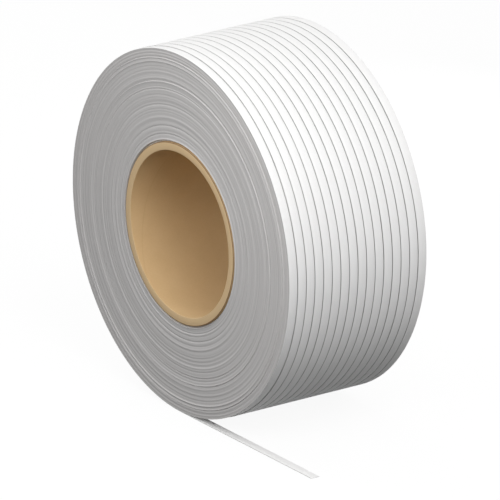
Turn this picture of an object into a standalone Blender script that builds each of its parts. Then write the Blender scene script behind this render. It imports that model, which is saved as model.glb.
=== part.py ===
"""A roll of plastic strapping, wound in bands side by side on a paperboard core.

The roll stands on its rim, as it is set down on a floor, and the strap's free end lies on that floor.
Metres, +Z up. The origin is the middle of the roll, and the core's axis is the Y axis. The end that
the strap's free end lies at is the front one, at -Y.
"""

import math

import bpy

# The core, a tube of wound paperboard
CORE_BORE = 0.200
CORE_WALL = 0.010
CORE_EDGE = 0.0006

# The strap, sold as 12 mm wide. Its free end lies a hair inside its band and above the floor, so that no
# faces coincide.
STRAP_WIDTH = 0.0116
STRAP_THICKNESS = 0.0006
STRAP_CORNER = 0.0002
FREE_END_LENGTH = 0.265
FREE_END_INSET = 0.0001
FREE_END_LIFT = 0.00005

# How the strap is wound
BANDS = 16
BAND_GAP = 0.0007
LAYERS = 185
CORE_FIT = 0.0003

# How turns show on the two ends: rings of turns that each slope in from a raised outer edge
END_RINGS = 8
RING_STEP = 0.0006

# Flats round every turned shape. The roll stands on the one that faces down.
FLATS = 64

BAND_PITCH = STRAP_WIDTH + BAND_GAP
ROLL_WIDTH = BANDS * BAND_PITCH - BAND_GAP
BORE_RADIUS = CORE_BORE / 2
CORE_RADIUS = BORE_RADIUS + CORE_WALL
WINDING_INSIDE = CORE_RADIUS + CORE_FIT
WINDING_OUTSIDE = WINDING_INSIDE + LAYERS * STRAP_THICKNESS
HALF_FLAT = math.pi / FLATS
FLOOR = -WINDING_OUTSIDE * math.cos(HALF_FLAT)

STRAP_COLOUR = (0.86, 0.86, 0.86, 1.0)
PAPERBOARD_COLOUR = (0.47, 0.30, 0.15, 1.0)


def clear_scene():
    """Removes the objects that the file opens with."""
    for thing in list(bpy.data.objects):
        bpy.data.objects.remove(thing)


def new_collection(name):
    """A collection in the scene, for objects of one kind."""
    collection = bpy.data.collections.new(name)
    bpy.context.scene.collection.children.link(collection)
    return collection


def new_material(name, colour, roughness):
    """A material that isn't metal."""
    material = bpy.data.materials.new(name)
    material.use_nodes = True
    shader = material.node_tree.nodes["Principled BSDF"]
    shader.inputs["Base Color"].default_value = colour
    shader.inputs["Roughness"].default_value = roughness
    shader.inputs["Metallic"].default_value = 0.0
    return material


def core_outline():
    """(radius, place along the axis) round the core's wall, from its outer side down.

    Each corner is broken, as where the tube was cut to length.
    """
    half = ROLL_WIDTH / 2
    return [
        (CORE_RADIUS, half - CORE_EDGE),
        (CORE_RADIUS, -half + CORE_EDGE),
        (CORE_RADIUS - CORE_EDGE, -half),
        (BORE_RADIUS + CORE_EDGE, -half),
        (BORE_RADIUS, -half + CORE_EDGE),
        (BORE_RADIUS, half - CORE_EDGE),
        (BORE_RADIUS + CORE_EDGE, half),
        (CORE_RADIUS - CORE_EDGE, half),
    ]


def bands_outline():
    """Down the winding's outer side: a flat for each band, and a groove as deep as the strap between two."""
    half = ROLL_WIDTH / 2
    points = []
    for band in range(BANDS):
        top = half - band * BAND_PITCH
        bottom = top - STRAP_WIDTH
        points.append((WINDING_OUTSIDE, top - STRAP_CORNER))
        points.append((WINDING_OUTSIDE, bottom + STRAP_CORNER))
        if band < BANDS - 1:
            points.append((WINDING_OUTSIDE - STRAP_THICKNESS, bottom - BAND_GAP / 2))
    return points


def end_outline(side):
    """Across one end, from the rim to the bore: each ring slopes in, and the next one steps out again."""
    half = ROLL_WIDTH / 2
    rim = WINDING_OUTSIDE - STRAP_CORNER
    ring_width = (rim - WINDING_INSIDE) / END_RINGS
    points = []
    for ring in range(END_RINGS):
        outer = rim - ring * ring_width
        points.append((outer, side * half))
        points.append((outer - ring_width, side * (half - RING_STEP)))
    return points


def winding_outline():
    """Round the winding's section: its outer side down, one end inwards, and the other end back out."""
    return bands_outline() + end_outline(-1) + end_outline(1)[::-1]


def turned(name, outline, material, collection):
    """An outline turned about the Y axis, with one of its flats facing down.

    The outline runs down its outer side in the object's own frame, whose Z axis is laid along Y.
    """
    mesh = bpy.data.meshes.new(name)
    points = [(radius, 0.0, along) for radius, along in outline]
    edges = [(i, (i + 1) % len(points)) for i in range(len(points))]
    mesh.from_pydata(points, edges, [])
    thing = bpy.data.objects.new(name, mesh)
    thing.rotation_euler = (-math.pi / 2, math.pi / 2 + HALF_FLAT, 0.0)
    mesh.materials.append(material)
    collection.objects.link(thing)
    screw = thing.modifiers.new("turn", "SCREW")
    screw.axis = "Z"
    screw.angle = 2 * math.pi
    screw.steps = FLATS
    screw.render_steps = FLATS
    screw.use_merge_vertices = True
    screw.merge_threshold = 0.00001
    screw.use_smooth_shade = True
    return thing


def shade(thing):
    """Smooth shading round a turned shape, which its broad faces lead and its narrow edges follow."""
    normals = thing.modifiers.new("shading", "WEIGHTED_NORMAL")
    normals.weight = 100


def free_end(collection):
    """The strap's end, flat on the floor from under the roll forwards: a guide that the strap takes in."""
    bpy.ops.mesh.primitive_cube_add(
        size=1.0,
        location=(
            FREE_END_LENGTH / 2,
            (STRAP_WIDTH - ROLL_WIDTH) / 2,
            FLOOR + FREE_END_LIFT + STRAP_THICKNESS / 2,
        ),
        scale=(FREE_END_LENGTH, STRAP_WIDTH - 2 * FREE_END_INSET, STRAP_THICKNESS),
    )
    tail = bpy.context.object
    tail.name = "free_end_shape"
    bpy.ops.object.transform_apply(location=False, rotation=False, scale=True)
    for owner in list(tail.users_collection):
        owner.objects.unlink(tail)
    collection.objects.link(tail)
    corners = tail.modifiers.new("corners", "BEVEL")
    corners.width = STRAP_CORNER
    corners.segments = 1
    tail.hide_render = True
    tail.display_type = "WIRE"
    return tail


def build_core(collection):
    """The paperboard tube that the strap is wound on."""
    board = new_material("paperboard", PAPERBOARD_COLOUR, 0.8)
    shade(turned("core_tube", core_outline(), board, collection))


def build_strap(collection, guides):
    """The strap: all its turns as one turned solid, joined to its free end."""
    plastic = new_material("strap_plastic", STRAP_COLOUR, 0.4)
    strap = turned("strap", winding_outline(), plastic, collection)
    join = strap.modifiers.new("free_end", "BOOLEAN")
    join.operation = "UNION"
    join.solver = "EXACT"
    join.object = free_end(guides)
    shade(strap)


def main():
    """Builds the roll."""
    clear_scene()
    roll = new_collection("strapping_roll")
    guides = new_collection("guides")
    build_core(roll)
    build_strap(roll, guides)


main()
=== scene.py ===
"""The looks of a roll of white plastic strapping, wound on a paperboard core and standing on its rim.

The strap is embossed polypropylene, 12 mm wide and 0.6 mm thick. It lies in bands side by side, turn over
turn, and its free end runs out flat on the floor from under the front band. Lengths are in metres, in the
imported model's own frame: the core's axis is Y, the front end of the roll faces -Y, and Z is up.
"""

import logging
import math
import random
from collections.abc import Callable, Iterator
from contextlib import contextmanager
from dataclasses import dataclass
from enum import Enum
from functools import cached_property

import bmesh
import bpy
import numpy as np
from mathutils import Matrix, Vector


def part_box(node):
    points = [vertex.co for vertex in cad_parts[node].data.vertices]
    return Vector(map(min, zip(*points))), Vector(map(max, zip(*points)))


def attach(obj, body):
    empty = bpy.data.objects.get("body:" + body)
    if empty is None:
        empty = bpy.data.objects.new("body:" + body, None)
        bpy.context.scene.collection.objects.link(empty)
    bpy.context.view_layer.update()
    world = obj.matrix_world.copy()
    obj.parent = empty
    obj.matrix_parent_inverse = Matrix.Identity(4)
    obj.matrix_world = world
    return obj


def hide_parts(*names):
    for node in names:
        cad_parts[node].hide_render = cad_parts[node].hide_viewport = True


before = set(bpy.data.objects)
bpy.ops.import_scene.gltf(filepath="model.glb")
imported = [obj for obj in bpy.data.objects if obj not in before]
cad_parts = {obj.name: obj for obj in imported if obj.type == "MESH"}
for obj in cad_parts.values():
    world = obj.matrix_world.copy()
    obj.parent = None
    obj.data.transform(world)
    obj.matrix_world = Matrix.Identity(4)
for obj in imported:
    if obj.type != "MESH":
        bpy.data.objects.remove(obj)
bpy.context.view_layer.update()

LOG = logging.getLogger("strapping_roll")
MM = 0.001
BODY = "root"
STRAP_MAP = "strap"
FULL_TURN = 2 * math.pi
MERGE_DISTANCE = 0.001 * MM
POLYPROPYLENE_IOR = 1.49
WHITE = "FFFFFF"


class Slot(Enum):
    """The record's material slots."""

    STRAP = "strap_plastic"
    CORE = "paperboard"


class End(Enum):
    """The two ends of the roll, each with the sign of its side along Y."""

    FRONT = -1
    BACK = 1


@dataclass(frozen=True)
class RollSizes:
    """The roll's sizes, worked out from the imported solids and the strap's own section.

    Attributes:
        bands: How many bands lie side by side.
        layers: How many turns lie one over another.
        thickness: The strap's thickness.
        gap: The gap between two bands.
        core_wall: The core's wall, of wound paperboard.
        core_fit: The clearance between the core and the first turn.
        inset: How far the winding's ends lie in from the core's ends.
    """

    bands: int = 16
    layers: int = 185
    thickness: float = 0.6 * MM
    gap: float = 0.9 * MM
    core_wall: float = 10.0 * MM
    core_fit: float = 0.3 * MM
    inset: float = 0.8 * MM

    @cached_property
    def half_width(self) -> float:
        """Half the winding's width, along Y."""
        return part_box("strap")[1].y - self.inset

    @cached_property
    def rim(self) -> float:
        """The winding's outside radius, which reaches down to the floor."""
        return -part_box("strap")[0].z

    @cached_property
    def floor(self) -> float:
        """The height of the floor."""
        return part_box("strap")[0].z

    @cached_property
    def free_end(self) -> float:
        """How far the strap's free end reaches along X."""
        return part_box("strap")[1].x

    @cached_property
    def core_outside(self) -> float:
        """The core's outside radius."""
        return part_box("core_tube")[1].z

    @cached_property
    def core_end(self) -> float:
        """How far the core's ends lie from its middle, along Y."""
        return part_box("core_tube")[1].y

    @cached_property
    def winding_inside(self) -> float:
        """The radius of the first turn's inner face."""
        return self.core_outside + self.core_fit

    @cached_property
    def layer_pitch(self) -> float:
        """The radius that each turn adds."""
        return (self.rim - self.winding_inside) / self.layers

    @cached_property
    def band_pitch(self) -> float:
        """The distance from one band to the next."""
        return (2 * self.half_width + self.gap) / self.bands

    @cached_property
    def strap_width(self) -> float:
        """The strap's width."""
        return self.band_pitch - self.gap

    def band_start(self, band: int) -> float:
        """Where a band starts along Y.

        Args:
            band: The band's number, from 0 at the front end.

        Returns:
            The place of its edge nearest the front end.
        """
        return -self.half_width + band * self.band_pitch


class Workpiece:
    """One mesh that is being modelled with operators, alone in the selection."""

    def __init__(self, name: str) -> None:
        """Takes the primitive that was just added, names it and moves its place into its mesh.

        Args:
            name: The piece's name.
        """
        self.piece = bpy.context.object
        self.piece.name = name
        self.piece.data.name = name
        bpy.ops.object.transform_apply(location=True, rotation=True, scale=True)

    @classmethod
    def section(cls, name: str, radii: tuple[float, float], along: tuple[float, float]) -> "Workpiece":
        """Adds a flat rectangle at +X, the section that a turned piece starts from.

        Args:
            name: The piece's name.
            radii: Its inner and outer radius.
            along: Its two ends along Y.

        Returns:
            The rectangle.
        """
        bpy.ops.object.select_all(action="DESELECT")
        middle = (sum(radii) / 2, sum(along) / 2, 0.0)
        bpy.ops.mesh.primitive_plane_add(size=1.0, location=middle)
        bpy.ops.transform.resize(value=(radii[1] - radii[0], along[1] - along[0], 1.0))
        return cls(name)

    def select_alone(self) -> None:
        """Selects this piece and nothing else."""
        bpy.ops.object.select_all(action="DESELECT")
        bpy.context.view_layer.objects.active = self.piece
        self.piece.select_set(True)

    @contextmanager
    def editing(self) -> Iterator[None]:
        """Edit mode on this piece alone, with all of it selected."""
        self.select_alone()
        bpy.ops.object.mode_set(mode="EDIT")
        bpy.ops.mesh.select_mode(type="VERT")
        bpy.ops.mesh.select_all(action="SELECT")
        yield
        bpy.ops.object.mode_set(mode="OBJECT")

    def pick(self, wanted: Callable[[Vector], bool]) -> None:
        """Selects, in edit mode, the vertices whose place passes a test.

        Args:
            wanted: The test of a place.
        """
        mesh = bmesh.from_edit_mesh(self.piece.data)
        for vertex in mesh.verts:
            vertex.select = wanted(vertex.co)
        mesh.select_flush_mode()
        bmesh.update_edit_mesh(self.piece.data)

    def round_corners(self, radius: float, segments: int = 3) -> None:
        """Rounds the corners of a flat section.

        Args:
            radius: How far the rounding reaches along each side.
            segments: How many straight bits make the round.
        """
        with self.editing():
            bpy.ops.mesh.bevel(offset=radius, segments=segments, affect="VERTICES", profile=0.5)

    def turn(self, steps: int) -> None:
        """Turns a section about the core's axis into a closed ring.

        Args:
            steps: How many flats go round.
        """
        with self.editing():
            bpy.ops.mesh.delete(type="ONLY_FACE")
            bpy.ops.mesh.select_all(action="SELECT")
            bpy.ops.mesh.spin(steps=steps, angle=FULL_TURN, center=(0, 0, 0), axis=(0, 1, 0))
            bpy.ops.mesh.select_all(action="SELECT")
            bpy.ops.mesh.remove_doubles(threshold=MERGE_DISTANCE)
            bpy.ops.mesh.normals_make_consistent(inside=False)

    def copy_along(self, distance: float) -> "Workpiece":
        """Copies this piece, mesh and all, further along the roll.

        Args:
            distance: How far to move the copy along Y.

        Returns:
            The copy.
        """
        self.select_alone()
        bpy.ops.object.duplicate(linked=False)
        bpy.ops.transform.translate(value=(0, distance, 0))
        return Workpiece(self.piece.name)

    def rotate(self, angle: float) -> None:
        """Turns the piece about the core's axis.

        Args:
            angle: How far, in radians.
        """
        with self.editing():
            bpy.ops.transform.rotate(value=angle, orient_axis="Y", center_override=(0, 0, 0))

    def stray(self, reach: float, length: float) -> None:
        """Lets the piece stray sideways along Y, by a smooth wave that never repeats.

        Args:
            reach: How far it strays at most, towards +Y.
            length: How long a wave is.
        """
        self.select_alone()
        wave = bpy.data.textures.new("stray", "CLOUDS")
        wave.noise_scale = length
        wave.noise_depth = 0
        displace = self.piece.modifiers.new("stray", "DISPLACE")
        displace.texture = wave
        displace.texture_coords = "LOCAL"
        displace.direction = "Y"
        displace.mid_level = 0.0
        displace.strength = reach
        bpy.ops.object.modifier_apply(modifier=displace.name)

    def shade(self, angle: float = 35.0) -> None:
        """Shades the piece smooth, apart from its sharp edges.

        Args:
            angle: The angle, in degrees, from which an edge is sharp.
        """
        self.select_alone()
        bpy.ops.object.shade_smooth_by_angle(angle=math.radians(angle))

    def finish(self, material: bpy.types.Material, slot: Slot, *nodes: str) -> None:
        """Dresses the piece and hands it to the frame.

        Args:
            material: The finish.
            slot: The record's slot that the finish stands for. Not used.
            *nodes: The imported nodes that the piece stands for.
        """
        self.piece.data.materials.clear()
        self.piece.data.materials.append(material)
        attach(self.piece, BODY)
        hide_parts(*nodes)
        self.piece.data.calc_loop_triangles()
        LOG.info("%s: %d triangles", self.piece.name, len(self.piece.data.loop_triangles))


def join(pieces: list[Workpiece], name: str) -> Workpiece:
    """Joins pieces into the first of them.

    Args:
        pieces: The pieces.
        name: The name of the result.

    Returns:
        The joined piece.
    """
    bpy.ops.object.select_all(action="DESELECT")
    for part in pieces:
        part.piece.select_set(True)
    bpy.context.view_layer.objects.active = pieces[0].piece
    bpy.ops.object.join()
    return Workpiece(name)


def map_strap(piece: bpy.types.Object, sizes: RollSizes, turned: bool) -> None:
    """Writes the strap's own map: metres along the strap, and metres from the strap's middle line.

    Args:
        piece: A piece of strap.
        sizes: The roll's sizes.
        turned: Whether the strap goes round the roll or lies straight along X.
    """
    mesh = piece.data
    corners = len(mesh.loops)
    vertex_of = np.empty(corners, np.int32)
    mesh.loops.foreach_get("vertex_index", vertex_of)
    places = np.empty(len(mesh.vertices) * 3)
    mesh.vertices.foreach_get("co", places)
    places = places.reshape(-1, 3)[vertex_of]
    band = np.floor((places[:, 1] + sizes.half_width + sizes.gap / 2) / sizes.band_pitch)
    middle = -sizes.half_width + band * sizes.band_pitch + sizes.strap_width / 2
    along = places[:, 0]
    if turned:
        starts = np.empty(len(mesh.polygons), np.int32)
        mesh.polygons.foreach_get("loop_start", starts)
        counts = np.diff(np.append(starts, corners))
        angle = np.arctan2(places[:, 2], places[:, 0])
        widest = np.repeat(np.maximum.reduceat(angle, starts), counts)
        angle = np.where(widest - angle > math.pi, angle + FULL_TURN, angle)
        along = angle * sizes.rim
    layer = mesh.uv_layers.new(name=STRAP_MAP)
    layer.uv.foreach_set("vector", np.stack([along, places[:, 1] - middle], 1).ravel())


def linear(colour: str) -> tuple[float, float, float, float]:
    """Turns an sRGB colour into the linear one that a shader takes.

    Args:
        colour: Six hexadecimal digits.

    Returns:
        Red, green, blue and an alpha of 1.
    """
    channels = []
    for start in (0, 2, 4):
        value = int(colour[start:start + 2], 16) / 255
        channels.append(value / 12.92 if value <= 0.04045 else ((value + 0.055) / 1.055) ** 2.4)
    return (*channels, 1.0)


class Nodes:
    """A node tree while it is put together."""

    def __init__(self, tree: bpy.types.NodeTree) -> None:
        """Starts from a tree.

        Args:
            tree: The tree.
        """
        self.tree = tree

    def add(self, kind: str, inputs: dict | tuple = (), **settings: object) -> bpy.types.NodeOutputs:
        """Adds a node with its settings and links.

        Args:
            kind: The node's type, without its prefix.
            inputs: What goes into its sockets, each a socket to link or a value: a tuple in the sockets'
                own order, or a dictionary by their names or numbers.
            **settings: Its settings, by name.

        Returns:
            The node's outputs.
        """
        node = self.tree.nodes.new("ShaderNode" + kind)
        for setting, value in settings.items():
            setattr(node, setting, value)
        if isinstance(inputs, tuple):
            inputs = dict(enumerate(inputs))
        for socket, value in inputs.items():
            if isinstance(value, bpy.types.NodeSocket):
                self.tree.links.new(value, node.inputs[socket])
            else:
                node.inputs[socket].default_value = value
        return node.outputs

    def seen(self) -> bpy.types.NodeSocket:
        """Tells rays that show what they meet from rays that only carry its light.

        Returns:
            1 for a ray from the camera, a reflection or a transmission, and 0 for any other.
        """
        rays = self.add("LightPath")
        seen = self.add("Math", (rays["Is Camera Ray"], rays["Is Glossy Ray"]), operation="MAXIMUM")[0]
        return self.add("Math", (seen, rays["Is Transmission Ray"]), operation="MAXIMUM")[0]


class Recipe(Nodes):
    """A material while it is put together."""

    def __init__(self, name: str) -> None:
        """Starts a material with its usual shader.

        Args:
            name: The material's name.
        """
        self.material = bpy.data.materials.new(name)
        self.material.use_nodes = True
        super().__init__(self.material.node_tree)
        self.shader = self.tree.nodes["Principled BSDF"]
        self.output = self.tree.nodes["Material Output"]

    def set(self, **values: object) -> None:
        """Sets or links the shader's sockets.

        Args:
            **values: A value or a socket for each, named with underscores for spaces.
        """
        for name, value in values.items():
            socket = self.shader.inputs[name.replace("_", " ")]
            if isinstance(value, bpy.types.NodeSocket):
                self.tree.links.new(value, socket)
            else:
                socket.default_value = value

    def from_axis(self, place: bpy.types.NodeSocket) -> bpy.types.NodeSocket:
        """Works out how far a place is from the core's axis.

        Args:
            place: The place.

        Returns:
            Its radius.
        """
        flat = self.add("VectorMath", (place, (1.0, 0.0, 1.0)), operation="MULTIPLY")[0]
        return self.add("VectorMath", (flat,), operation="LENGTH")["Value"]


@dataclass(frozen=True)
class EmbossedPolypropylene:
    """The strap's faces: white polypropylene, drawn and then rolled with small diamonds.

    Drawing leaves faint streaks along the strap, and the rolled diamonds break its gloss into a soft
    sheen. Its edges are painted grey: painted shade on the rounded edges and in the gaps between bands.
    Real diamonds are about 1 mm across, too fine to show here, so they are drawn more than twice as coarse.

    Attributes:
        light: The colour of the strap.
        dark: The colour of its streaks.
        slit: The grey of its slit edges, painted shade at the strap's edges.
        edge_shade_reach: How far in from its edge that colour starts.
        edge_shade_full: How far in from its edge that colour is full.
        streaks: How fine the streaks are along the strap, across it and through it, in waves to a metre.
        diamond: The length and width of a diamond.
        depth: How deep the diamonds are rolled.
        margin: The plain edge on each side.
        smoothest: The roughness of its smoothest streak.
        roughest: The roughness of its roughest streak.
    """

    light: str = "F2F2F1"
    dark: str = "EBEAEA"
    # Painted shade: the strap turns grey at its edges, which darkens the gaps between bands.
    slit: str = "BEBEBC"
    edge_shade_reach: float = 0.3 * MM
    edge_shade_full: float = 0.1 * MM
    streaks: tuple[float, float, float] = (4.0, 900.0, 1.0)
    diamond: float = 2.6 * MM
    depth: float = 0.05 * MM
    margin: float = 0.7 * MM
    smoothest: float = 0.44
    roughest: float = 0.58

    def make(self, sizes: RollSizes) -> bpy.types.Material:
        """Builds the material.

        Args:
            sizes: The roll's sizes.

        Returns:
            The material.
        """
        recipe = Recipe("embossed_polypropylene")
        place = recipe.add("UVMap", uv_map=STRAP_MAP)[0]
        parts = recipe.add("SeparateXYZ", (place,))
        along = recipe.add("Math", (parts["X"], self.diamond), operation="DIVIDE")[0]
        across = recipe.add("Math", (parts["Y"], self.diamond), operation="DIVIDE")[0]
        slopes = []
        for slant in ("ADD", "SUBTRACT"):
            line = recipe.add("Math", (along, across), operation=slant)[0]
            slopes.append(recipe.add("Math", (line, 0.5), operation="PINGPONG")[0])
        lower = recipe.add("Math", tuple(slopes), operation="MINIMUM")[0]
        diamonds = recipe.add("Math", (lower, 2.0), operation="MULTIPLY")[0]
        off_middle = recipe.add("Math", (parts["Y"],), operation="ABSOLUTE")[0]
        half = sizes.strap_width / 2
        inside = recipe.add(
            "MapRange",
            {"Value": off_middle, "From Min": half - self.margin, "From Max": half - self.margin / 2,
             "To Min": 1.0, "To Max": 0.0},
        )[0]
        relief = recipe.add("Math", (diamonds, inside), operation="MULTIPLY")[0]
        drawn = recipe.add("Mapping", {"Vector": place, "Scale": self.streaks})[0]
        streaks = recipe.add("TexNoise", {"Vector": drawn, "Scale": 1.0, "Detail": 3.0})[0]
        face = recipe.add(
            "Mix", {0: streaks, 6: linear(self.light), 7: linear(self.dark)}, data_type="RGBA"
        )[2]
        # Painted shade: the strap's colour turns grey towards its edges.
        in_edge_shade = recipe.add(
            "MapRange",
            {"Value": off_middle, "From Min": half - self.edge_shade_reach, "From Max": half - self.edge_shade_full},
        )[0]
        recipe.set(
            Base_Color=recipe.add("Mix", {0: in_edge_shade, 6: face, 7: linear(self.slit)}, data_type="RGBA")[2],
            Roughness=recipe.add(
                "MapRange", {"Value": streaks, "To Min": self.smoothest, "To Max": self.roughest}
            )[0],
            Metallic=0.0,
            IOR=POLYPROPYLENE_IOR,
            Specular_IOR_Level=0.22,
            Normal=recipe.add("Bump", {"Height": relief, "Distance": self.depth, "Strength": 1.0})[0],
        )
        return recipe.material


@dataclass(frozen=True)
class StackedStrapEdges:
    """The roll's ends: hundreds of slit strap edges, pressed one on another.

    Slitting leaves each edge a little matt, and edges from another run of the wind differ a little in
    tone, which draws faint rings round the core. Both tones are painted greyer than the strap's face:
    painted shade between the pressed turns.

    Attributes:
        light: The lightest ring.
        dark: The darkest ring.
        ring: How wide a run of like turns is.
        contrast: The pattern's values at which the tone is darkest and lightest.
        grain: How fine the slit edges' grain is, in waves to a metre.
        grain_depth: How deep that grain is.
    """

    # Both tones are painted grey as shade between the pressed turns; the rings between them differ at
    # random.
    light: str = "D3D1D0"
    dark: str = "C5C3C2"
    ring: float = 2.2 * MM
    contrast: tuple[float, float] = (0.3, 0.7)
    grain: float = 700.0
    grain_depth: float = 0.02 * MM

    def make(self) -> bpy.types.Material:
        """Builds the material.

        Returns:
            The material.
        """
        recipe = Recipe("stacked_strap_edges_painted_shade")
        place = recipe.add("TexCoord")["Object"]
        turns = recipe.add("Math", (recipe.from_axis(place), self.ring), operation="DIVIDE")[0]
        rings = recipe.add(
            "TexNoise",
            {"W": turns, "Scale": 1.0, "Detail": 2.0, "Roughness": 0.6},
            noise_dimensions="1D",
        )[0]
        tone = recipe.add(
            "MapRange", {"Value": rings, "From Min": self.contrast[0], "From Max": self.contrast[1]}
        )[0]
        grain = recipe.add("TexNoise", {"Vector": place, "Scale": self.grain, "Detail": 2.0})[0]
        recipe.set(
            Base_Color=recipe.add(
                "Mix", {0: tone, 6: linear(self.dark), 7: linear(self.light)}, data_type="RGBA"
            )[2],
            Roughness=0.6,
            Metallic=0.0,
            IOR=POLYPROPYLENE_IOR,
            Specular_IOR_Level=0.3,
            Normal=recipe.add("Bump", {"Height": grain, "Distance": self.grain_depth, "Strength": 1.0})[0],
        )
        return recipe.material


@dataclass(frozen=True)
class SpiralPaperboard:
    """The core: brown kraft paperboard, wound in a spiral and glued.

    Kraft is dull and its fibres show as fine flecks. The inner ply's seam runs round the bore as a faint
    line. The tube was cut to length, and the cut fibres of its end look lighter, ringed by the plies. The
    outermost ply is painted dark: painted shade where the core meets the winding.

    Attributes:
        light: The colour of its lighter fibres.
        dark: The colour of its darker fibres.
        cut: The colour of the cut end.
        outer: The colour of the outermost ply, painted dark as shade where the core meets the winding.
        fibres: How fine its fibres are, in waves to a metre.
        clouds: How fine its cloudiness is, in waves to a metre.
        seam_pitch: How far the seam climbs along the tube in one turn.
        seam_width: How wide the seam looks.
        seam_share: How much darker the seam is, as a share.
        ply: The thickness of one ply.
        cut_reach: How far in from the tube's end the cut's colour starts.
        cut_full: How far in from the tube's end the cut's colour is full.
        relief: How high its fibres stand.
    """

    light: str = "DABC8F"
    dark: str = "C6A577"
    cut: str = "E6CAA2"
    # Painted shade where the core meets the winding.
    outer: str = "8A6A4C"
    fibres: float = 420.0
    clouds: float = 28.0
    seam_pitch: float = 154.0 * MM
    seam_width: float = 1.2 * MM
    seam_share: float = 0.35
    ply: float = 1.0 * MM
    cut_reach: float = 0.6 * MM
    cut_full: float = 0.2 * MM
    relief: float = 0.12 * MM

    def make(self, sizes: RollSizes) -> bpy.types.Material:
        """Builds the material.

        Args:
            sizes: The roll's sizes.

        Returns:
            The material.
        """
        recipe = Recipe("spiral_wound_kraft_paperboard")
        place = recipe.add("TexCoord")["Object"]
        fibres = recipe.add(
            "TexNoise", {"Vector": place, "Scale": self.fibres, "Detail": 5.0, "Roughness": 0.7}
        )[0]
        half_fibres = recipe.add("Math", (fibres, 0.5), operation="MULTIPLY")[0]
        off_seam = self.off_seam(recipe, place)
        wall = self.wall(recipe, place, half_fibres, off_seam)
        end = self.end(recipe, place, half_fibres, sizes)
        parts = recipe.add("SeparateXYZ", (place,))
        off_middle = recipe.add("Math", (parts["Y"],), operation="ABSOLUTE")[0]
        cut = sizes.core_end
        at_end = recipe.add(
            "MapRange",
            {"Value": off_middle, "From Min": cut - self.cut_reach, "From Max": cut - self.cut_full},
        )[0]
        rough = recipe.add("Math", (fibres, 0.4), operation="MULTIPLY")[0]
        relief = recipe.add("Math", (off_seam, 0.2, rough), operation="MULTIPLY_ADD")[0]
        recipe.set(
            Base_Color=recipe.add("Mix", {0: at_end, 6: wall, 7: end}, data_type="RGBA")[2],
            Roughness=0.85,
            Metallic=0.0,
            Specular_IOR_Level=0.3,
            Normal=recipe.add("Bump", {"Height": relief, "Distance": self.relief, "Strength": 1.0})[0],
        )
        return recipe.material

    def off_seam(self, recipe: Recipe, place: bpy.types.NodeSocket) -> bpy.types.NodeSocket:
        """Finds the inner ply's seam.

        Args:
            recipe: The material.
            place: The place.

        Returns:
            0 on the seam and 1 off it.
        """
        parts = recipe.add("SeparateXYZ", (place,))
        angle = recipe.add("Math", (parts["Z"], parts["X"]), operation="ARCTAN2")[0]
        turn = recipe.add("Math", (angle, FULL_TURN), operation="DIVIDE")[0]
        along = recipe.add("Math", (parts["Y"], self.seam_pitch), operation="DIVIDE")[0]
        climb = recipe.add("Math", (along, turn), operation="ADD")[0]
        away = recipe.add("Math", (climb, 0.5), operation="PINGPONG")[0]
        share = self.seam_width / self.seam_pitch
        return recipe.add("MapRange", {"Value": away, "From Min": share / 2, "From Max": share})[0]

    def wall(
        self,
        recipe: Recipe,
        place: bpy.types.NodeSocket,
        half_fibres: bpy.types.NodeSocket,
        off_seam: bpy.types.NodeSocket,
    ) -> bpy.types.NodeSocket:
        """Colours the wall: fibres and clouds, with the seam a little darker.

        Args:
            recipe: The material.
            place: The place.
            half_fibres: The fibres, from 0 to a half.
            off_seam: 0 on the seam and 1 off it.

        Returns:
            The colour.
        """
        clouds = recipe.add("TexNoise", {"Vector": place, "Scale": self.clouds, "Detail": 3.0})[0]
        mixed = recipe.add("Math", (clouds, 0.5, half_fibres), operation="MULTIPLY_ADD")[0]
        lit = recipe.add(
            "Math", (off_seam, self.seam_share, 1.0 - self.seam_share), operation="MULTIPLY_ADD"
        )[0]
        shade = recipe.add("Math", (mixed, lit), operation="MULTIPLY")[0]
        return recipe.add(
            "Mix", {0: shade, 6: linear(self.dark), 7: linear(self.light)}, data_type="RGBA"
        )[2]

    def end(
        self,
        recipe: Recipe,
        place: bpy.types.NodeSocket,
        half_fibres: bpy.types.NodeSocket,
        sizes: RollSizes,
    ) -> bpy.types.NodeSocket:
        """Colours the cut end: light fibres ringed by the plies, round them the outermost ply painted dark
        as shade.

        Args:
            recipe: The material.
            place: The place.
            half_fibres: The fibres, from 0 to a half.
            sizes: The roll's sizes.

        Returns:
            The colour.
        """
        radius = recipe.from_axis(place)
        count = recipe.add("Math", (radius, self.ply), operation="DIVIDE")[0]
        plies = recipe.add("Math", (count, 0.5), operation="PINGPONG")[0]
        rings = recipe.add("Math", (plies, 0.5, half_fibres), operation="MULTIPLY_ADD")[0]
        board = recipe.add(
            "Mix", {0: rings, 6: linear(self.light), 7: linear(self.cut)}, data_type="RGBA"
        )[2]
        # Painted shade: the outermost ply is coloured dark where the core meets the winding.
        last = sizes.core_outside - self.ply
        in_joint_shade = recipe.add(
            "MapRange",
            {"Value": radius, "From Min": last - self.ply / 4, "From Max": last + self.ply / 4},
        )[0]
        return recipe.add("Mix", {0: in_joint_shade, 6: board, 7: linear(self.outer)}, data_type="RGBA")[2]


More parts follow.
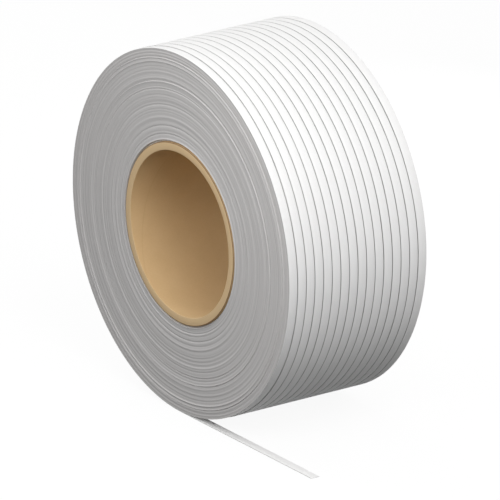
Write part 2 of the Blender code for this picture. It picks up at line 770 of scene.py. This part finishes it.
@dataclass
class OuterLayer:
    """The layer of turns on the outside: one rounded band of strap beside another.

    Attributes:
        sizes: The roll's sizes.
        corner: The radius of the strap's edges.
        stray: How far a band strays sideways.
        wave: How long a band runs before it strays the other way.
        twist: The angle between the same place on two neighbouring bands, in degrees.
        steps: How many flats go round a band.
    """

    sizes: RollSizes
    corner: float = 0.3 * MM
    stray: float = 0.3 * MM
    wave: float = 90.0 * MM
    twist: float = 137.5
    steps: int = 240

    def wind(self, band: Workpiece) -> None:
        """Lets the front band's last turn rise from the turn before it to the free end on the floor.

        Args:
            band: The front band.
        """
        with band.editing():
            mesh = bmesh.from_edit_mesh(band.piece.data)
            for vertex in mesh.verts:
                from_floor = (math.atan2(vertex.co.z, vertex.co.x) + math.pi / 2) / FULL_TURN % 1.0
                if from_floor > 0.5 / self.steps:
                    radius = math.hypot(vertex.co.x, vertex.co.z)
                    scale = 1 - (1 - from_floor) * self.sizes.layer_pitch / radius
                    vertex.co.x *= scale
                    vertex.co.z *= scale
            bmesh.update_edit_mesh(band.piece.data)

    def build(self, material: bpy.types.Material) -> Workpiece:
        """Models one band that strays a little, and copies it across the roll.

        Each copy is turned on from the last, so that neighbours stray at different places.

        Args:
            material: The strap's finish.

        Returns:
            All the bands as one piece.
        """
        sizes = self.sizes
        start = sizes.band_start(0)
        radii = (sizes.rim - sizes.layer_pitch, sizes.rim)
        band = Workpiece.section("outer_turns", radii, (start, start + sizes.strap_width))
        band.round_corners(self.corner)
        band.turn(self.steps)
        map_strap(band.piece, sizes, True)
        band.stray(self.stray, self.wave)
        pitch = sizes.band_pitch - self.stray / (sizes.bands - 1)
        bands = [band]
        for number in range(1, sizes.bands):
            copy = band.copy_along(number * pitch)
            copy.rotate(math.radians(number * self.twist))
            bands.append(copy)
        self.wind(band)
        layer = join(bands, "outer_turns")
        layer.shade()
        layer.finish(material, Slot.STRAP, "strap")
        return layer


@dataclass
class InnerTurns:
    """The columns of turns under the outer layer, which show only in the gaps between its bands.

    The gaps close some turns down, because a roll's bands cross over one another deeper in it.

    Attributes:
        sizes: The roll's sizes.
        corner: How far the columns' corners are broken.
        gap_depth: How far down the gaps reach.
        steps: How many flats go round.
    """

    sizes: RollSizes
    corner: float = 0.2 * MM
    gap_depth: float = 6.0 * MM
    steps: int = 120

    def build(self, material: bpy.types.Material) -> Workpiece:
        """Models one column and copies it across the roll, over a block between the two end columns.

        Args:
            material: The finish of the strap's edges, which is all that shows; its grey paints shade in the
                gaps.

        Returns:
            The columns and the block as one piece.
        """
        sizes = self.sizes
        start = sizes.band_start(1)
        top = sizes.rim - sizes.layer_pitch
        foot = top - self.gap_depth
        column = Workpiece.section(
            "inner_turns", (foot - self.corner, top), (start, start + sizes.strap_width)
        )
        column.round_corners(self.corner, segments=1)
        column.turn(self.steps)
        copies = [column.copy_along(number * sizes.band_pitch) for number in range(1, sizes.bands - 2)]
        ends = (sizes.band_start(0) + sizes.strap_width, sizes.band_start(sizes.bands - 1))
        block = Workpiece.section("block", (sizes.winding_inside, foot), ends)
        block.turn(self.steps)
        columns = join([column, block] + copies, "inner_turns")
        columns.shade()
        columns.finish(material, Slot.STRAP, "strap")
        return columns


@dataclass
class EndTurns:
    """The column of turns at one end of the roll, with the edge of every turn modelled.

    Attributes:
        sizes: The roll's sizes.
        end: Which end of the roll it is.
        seed: The number that the draw of the turns' places starts from, to which the end's sign is added.
        stray: How far one turn's edge may lie in from the next.
        proud: How far the turns stand out that draw the rings. The next turn lies as much deeper.
        weakest: The least share of that distance by which they do.
        run: The fewest and most turns that stand out together.
        spacing: The fewest and most turns from one such run to the next.
        first_turns: How many turns next to the core lie deeper.
        first_depth: How deep those lie.
        groove: How deep the edges' rounding makes the groove between two turns.
        points: How many points draw each turn: the groove under it and the corners of its edge.
        steps: How many flats go round.
        sharp: The angle, in degrees, from which an edge isn't shaded smooth.
    """

    sizes: RollSizes
    end: End
    seed: int = 7
    stray: float = 0.1 * MM
    proud: float = 0.75 * MM
    weakest: float = 0.2
    run: tuple[int, int] = (1, 2)
    spacing: tuple[int, int] = (4, 13)
    first_turns: int = 2
    first_depth: float = 2.2 * MM
    groove: float = 0.14 * MM
    points: int = 3
    steps: int = 144
    sharp: float = 60.0

    def offsets(self) -> list[float]:
        """How far in each turn's edge lies.

        Returns:
            One depth for each turn, from the core outwards.
        """
        chance = random.Random(self.seed + self.end.value)
        turns = self.sizes.layers - 1
        depths = [chance.uniform(0, self.stray) for _ in range(turns)]
        turn = self.first_turns
        while turn + self.run[1] + 1 < turns:
            out = self.proud * chance.uniform(self.weakest, 1.0)
            width = chance.randint(*self.run)
            for raised in range(turn, turn + width):
                depths[raised] -= out
            depths[turn + width] += out
            turn += chance.randint(*self.spacing)
        depths[:self.first_turns] = [self.first_depth] * self.first_turns
        return depths

    def build(self, material: bpy.types.Material) -> Workpiece:
        """Models the column's section, moves each turn's edge to its depth and turns it.

        Args:
            material: The finish of the strap's edges.

        Returns:
            The column.
        """
        sizes = self.sizes
        side = self.end.value
        face = side * sizes.half_width
        back = side * (sizes.half_width - sizes.strap_width)
        turns = sizes.layers - 1
        radii = (sizes.winding_inside, sizes.rim - sizes.layer_pitch)
        name = f"end_turns_{self.end.name.lower()}"
        column = Workpiece.section(name, radii, (min(face, back), max(face, back)))
        step = sizes.layer_pitch / self.points
        reach = 2 * self.first_depth

        def on_face(place: Vector) -> bool:
            """Whether a place is on the end that shows."""
            return abs(place.y - face) < reach

        with column.editing():
            bpy.ops.mesh.delete(type="ONLY_FACE")
            column.pick(on_face)
            bpy.ops.mesh.subdivide(number_cuts=self.points * turns - 1)
            depths = self.offsets()
            for turn, depth in enumerate(depths):
                low = radii[0] + (self.points * turn + 0.5) * step
                high = low + (self.points - 1) * step
                column.pick(lambda place: on_face(place) and low < place.x < high)
                bpy.ops.transform.translate(value=(0, -side * depth, 0))
            for turn, (below, above) in enumerate(zip([depths[0]] + depths, depths + [depths[-1]])):
                groove = radii[0] + self.points * turn * step
                column.pick(lambda place: on_face(place) and abs(place.x - groove) < step / 2)
                bpy.ops.transform.translate(value=(0, -side * (max(below, above) + self.groove), 0))
        column.turn(self.steps)
        column.shade(self.sharp)
        column.finish(material, Slot.STRAP, "strap")
        return column


@dataclass
class FreeEnd:
    """The strap's free end, flat on the floor from under the front band.

    Attributes:
        sizes: The roll's sizes.
        corner: The radius of the strap's edges.
    """

    sizes: RollSizes
    corner: float = 0.22 * MM

    def build(self, material: bpy.types.Material) -> Workpiece:
        """Models the strap from a block: its long edges are rounded and its end is cut square.

        Args:
            material: The strap's finish.

        Returns:
            The free end.
        """
        sizes = self.sizes
        start = sizes.band_start(0)
        bpy.ops.object.select_all(action="DESELECT")
        bpy.ops.mesh.primitive_cube_add(
            size=1.0,
            location=(
                sizes.free_end / 2,
                start + sizes.strap_width / 2,
                sizes.floor + sizes.thickness / 2,
            ),
            scale=(sizes.free_end, sizes.strap_width, sizes.thickness),
        )
        tail = Workpiece("free_end")
        with tail.editing():
            bpy.ops.mesh.select_mode(type="EDGE")
            mesh = bmesh.from_edit_mesh(tail.piece.data)
            for edge in mesh.edges:
                direction = edge.verts[1].co - edge.verts[0].co
                edge.select = abs(direction.x) > sizes.free_end / 2
            bmesh.update_edit_mesh(tail.piece.data)
            bpy.ops.mesh.bevel(offset=self.corner, segments=3, affect="EDGES", profile=0.5)
        tail.shade()
        map_strap(tail.piece, sizes, False)
        tail.finish(material, Slot.STRAP, "strap")
        return tail


@dataclass
class CoreTube:
    """The paperboard tube.

    Attributes:
        sizes: The roll's sizes.
        corner: How far its cut edges are rounded.
        steps: How many flats go round.
    """

    sizes: RollSizes
    corner: float = 0.7 * MM
    steps: int = 192

    def build(self, material: bpy.types.Material) -> Workpiece:
        """Models the tube's section with rounded edges, and turns it.

        Args:
            material: The paperboard's finish.

        Returns:
            The tube.
        """
        sizes = self.sizes
        radii = (sizes.core_outside - sizes.core_wall, sizes.core_outside)
        tube = Workpiece.section("paperboard_core", radii, (-sizes.core_end, sizes.core_end))
        tube.round_corners(self.corner)
        tube.turn(self.steps)
        tube.shade()
        tube.finish(material, Slot.CORE, "core_tube")
        return tube


@dataclass(frozen=True)
class Softbox:
    """A round soft lamp that faces the roll.

    Attributes:
        name: The lamp's name.
        azimuth: Which side it stands on, in degrees from +X towards -Y.
        elevation: How high it hangs, in degrees.
        distance: How far from the roll's middle it is.
        size: How wide it is.
        energy: Its power in watts.
    """

    name: str
    azimuth: float
    elevation: float
    distance: float
    size: float
    energy: float


@dataclass(frozen=True)
class Studio:
    """A plain white studio, with the camera where the photograph was taken from.

    Attributes:
        sizes: The roll's sizes.
        lamps: The lamps.
        fill: The strength of the even light from all round.
        bounce: The colour by which the floor throws light back up.
        azimuth: The camera's azimuth, in degrees from looking along +Y.
        elevation: The camera's height above the horizon, in degrees.
        distance: How far away the camera is.
        lens: Its focal length, in millimetres.
        sensor: The width of its sensor, in millimetres.
        sight: How far it sees.
        aside: How far right of the roll's middle the camera aims.
        below: How far under the roll's middle the camera aims.
        floor_size: How long and wide the floor is.
        floor_gap: How far under the roll the floor lies.
        floor_white: How much of the floor's look is plain white, and not the light that falls on it.
    """

    sizes: RollSizes
    lamps: tuple[Softbox, ...] = (
        Softbox("key", 12.0, 44.0, 3.0, 2.4, 55.5),
        Softbox("back", 180.0, 35.0, 3.0, 2.4, 32.0),
        Softbox("side", 0.0, 5.0, 3.0, 2.0, 11.5),
        Softbox("front", 71.0, 30.0, 1.1, 0.7, 4.1),
        Softbox("rear", 245.0, 10.0, 1.1, 0.7, 4.0),
    )
    fill: float = 0.34
    bounce: str = "343434"
    azimuth: float = 54.90
    elevation: float = 20.25
    distance: float = 15.19
    lens: float = 937.1
    sensor: float = 36.0
    sight: float = 100.0
    aside: float = 0.00217
    below: float = 0.0379
    floor_size: float = 30.0
    floor_gap: float = 0.05 * MM
    floor_white: float = 0.93

    def build_camera(self) -> None:
        """Sets up the camera."""
        turn, tilt = math.radians(self.azimuth), math.radians(self.elevation)
        back = Vector((math.sin(turn) * math.cos(tilt), -math.cos(turn) * math.cos(tilt), math.sin(tilt)))
        right = Vector((math.cos(turn), math.sin(turn), 0.0))
        up = back.cross(right)
        data = bpy.data.cameras.new("camera")
        data.lens = self.lens
        data.sensor_width = self.sensor
        data.clip_end = self.sight
        camera = bpy.data.objects.new("camera", data)
        camera.location = right * self.aside - up * self.below + back * self.distance
        camera.rotation_mode = "QUATERNION"
        camera.rotation_quaternion = (-back).to_track_quat("-Z", "Y")
        bpy.context.scene.collection.objects.link(camera)
        bpy.context.scene.camera = camera

    def build_floor(self) -> None:
        """Lays the floor, which the camera sees as white but for the roll's faint shadow."""
        recipe = Recipe("studio_floor_paper")
        seen = recipe.seen()
        recipe.set(
            Base_Color=recipe.add(
                "Mix", {0: seen, 6: linear(self.bounce), 7: linear(WHITE)}, data_type="RGBA"
            )[2],
            Roughness=0.9,
            Specular_IOR_Level=0.0,
        )
        white = recipe.add("Emission", {"Color": linear(WHITE), "Strength": 1.0})[0]
        share = recipe.add("Math", (seen, self.floor_white), operation="MULTIPLY")[0]
        mixed = recipe.add("MixShader", (share, recipe.shader.outputs[0], white))[0]
        recipe.tree.links.new(mixed, recipe.output.inputs["Surface"])
        bpy.ops.object.select_all(action="DESELECT")
        height = self.sizes.floor - self.floor_gap
        bpy.ops.mesh.primitive_plane_add(size=self.floor_size, location=(0, 0, height))
        floor = bpy.context.object
        floor.name = "floor"
        floor.data.materials.append(recipe.material)

    def build_world(self) -> None:
        """Fills the room with even light, and shows it white behind the roll."""
        world = bpy.data.worlds.new("studio")
        world.use_nodes = True
        bpy.context.scene.world = world
        nodes = Nodes(world.node_tree)
        fill = nodes.tree.nodes["Background"]
        fill.inputs["Color"].default_value = linear(WHITE)
        fill.inputs["Strength"].default_value = self.fill
        white = nodes.add("Background", {"Color": linear(WHITE), "Strength": 1.0})[0]
        mixed = nodes.add("MixShader", (nodes.seen(), fill.outputs[0], white))[0]
        nodes.tree.links.new(mixed, nodes.tree.nodes["World Output"].inputs["Surface"])

    def build_lamps(self) -> None:
        """Hangs the soft lamps."""
        for lamp in self.lamps:
            turn, height = math.radians(lamp.azimuth), math.radians(lamp.elevation)
            out = math.cos(height)
            towards = Vector((out * math.cos(turn), -out * math.sin(turn), math.sin(height)))
            data = bpy.data.lights.new(lamp.name, "AREA")
            data.shape = "DISK"
            data.size = lamp.size
            data.energy = lamp.energy
            holder = bpy.data.objects.new(lamp.name, data)
            holder.location = towards * lamp.distance
            holder.rotation_mode = "QUATERNION"
            holder.rotation_quaternion = towards.to_track_quat("Z", "Y")
            bpy.context.scene.collection.objects.link(holder)


def main() -> None:
    """Dresses the roll, then sets up the studio."""
    logging.basicConfig(level=logging.INFO, format="%(message)s")
    sizes = RollSizes()
    strap = EmbossedPolypropylene().make(sizes)
    edges = StackedStrapEdges().make()
    board = SpiralPaperboard().make(sizes)
    OuterLayer(sizes).build(strap)
    # The inner turns wear the edges' grey finish: painted shade in the gaps between bands.
    InnerTurns(sizes).build(edges)
    EndTurns(sizes, End.FRONT).build(edges)
    EndTurns(sizes, End.BACK).build(edges)
    FreeEnd(sizes).build(strap)
    CoreTube(sizes).build(board)
    studio = Studio(sizes)
    studio.build_floor()
    studio.build_world()
    studio.build_lamps()
    studio.build_camera()
    bpy.context.scene.view_settings.view_transform = "Standard"


if __name__ == "__main__":
    main()
